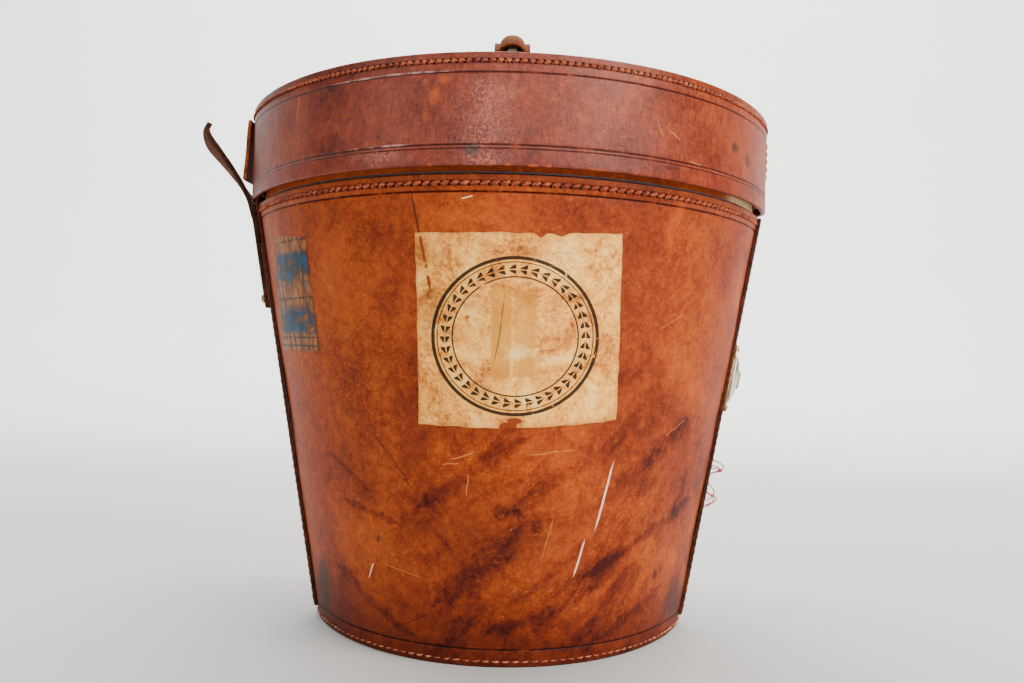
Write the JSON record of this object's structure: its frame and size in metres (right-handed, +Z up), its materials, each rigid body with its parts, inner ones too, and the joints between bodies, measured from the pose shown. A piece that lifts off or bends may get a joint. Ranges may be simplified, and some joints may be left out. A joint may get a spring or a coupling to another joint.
{
  "type": "hat box",
  "caption": "Leather bucket-shaped top-hat box with a hinged lid, front lock, padded inside, carrying handle and a loose rear strap.",
  "frame": {"origin": "middle of the underside, on the floor plane", "axes": "+Z up; +X towards the lock at the front; -X towards the hinge; -Y towards the side with the paper label"},
  "size_m": [0.3911, 0.3282, 0.391],
  "materials": {
    "body_leather": "worn, waxed",
    "lid_leather": "worn, waxed",
    "dark_leather": "matt",
    "strip_leather": "worn, waxed",
    "handle_leather": "rubbed",
    "thread": "matt",
    "cord": "matt",
    "satin": "satin",
    "label_paper": "matt",
    "side_label_paper": "matt",
    "board": "matt",
    "brass": "aged",
    "spring_steel": "plain"
  },
  "bodies": {
    "case": {"side_panel_near": "body_leather", "side_panel_far": "body_leather", "front_seam_strip": "strip_leather", "rear_seam_strip": "strip_leather", "base_disc": "strip_leather", "base_board": "board", "crown_pad": "satin", "body_lining": "satin", "collar": "lid_leather", "hat_rest_ring": "satin", "rim_cord": "cord", "rim_thread_near": "thread", "rim_thread_far": "thread", "base_thread": "thread", "paper_label": "label_paper", "side_label": "side_label_paper", "lock_backplate": "brass", "lock_dome": "brass", "lock_rivet_top": "brass", "lock_rivet_bottom": "brass", "cover_pin": "brass", "bolt_spring": "spring_steel", "hinge_leaf_lower": "dark_leather", "rear_strap_root": "dark_leather", "rear_strap_rivet": "brass"},
    "lid": {"lid_band": "lid_leather", "lid_top": "lid_leather", "lid_board": "board", "lid_lining": "satin", "lid_pad": "satin", "lid_thread": "thread", "hinge_leaf_upper": "dark_leather", "strap_keeper": "lid_leather", "staple_near": "brass", "staple_far": "brass", "staple_plate_near": "brass", "staple_plate_far": "brass"},
    "handle": {"handle_cover": "handle_leather", "handle_core": "board", "handle_backing": "handle_leather", "handle_loop_near": "handle_leather", "handle_loop_far": "handle_leather", "dee_ring_near": "brass", "dee_ring_far": "brass"},
    "loose_strap": {"rear_strap_tip": "dark_leather"},
    "keyhole_cover": {"keyhole_cover": "brass"},
    "lock_bolt": {"lock_bolt": "brass"}
  },
  "joints": [
    {"name": "lid_hinge", "type": "hinge", "parent": "case", "child": "lid", "pos_m": [-0.1716, 0, 0.2772], "axis": [0, -1, 0], "range_deg": [0, 95]},
    {"name": "loose_strap_bend", "type": "hinge", "parent": "case", "child": "loose_strap", "pos_m": [-0.1745, 0, 0.2705], "axis": [0, -1, 0], "range_deg": [0, 119]},
    {"name": "handle_swing", "type": "hinge", "parent": "lid", "child": "handle", "pos_m": [0, 0, 0.3575], "axis": [0, 1, 0], "range_deg": [-60, 60]},
    {"name": "keyhole_cover_swing", "type": "hinge", "parent": "case", "child": "keyhole_cover", "pos_m": [0.16028, 0, 0.16948], "axis": [0.9848, 0, -0.1735], "range_deg": [-100, 100]},
    {"name": "lock_bolt_slide", "type": "slide", "parent": "case", "child": "lock_bolt", "axis": [0.1735, 0, 0.9848], "range_m": [0, 0.003]}
  ],
  "couplings": [
    {"joint": "loose_strap_bend", "follows": "lid_hinge", "ratio": 1.25}
  ]
}
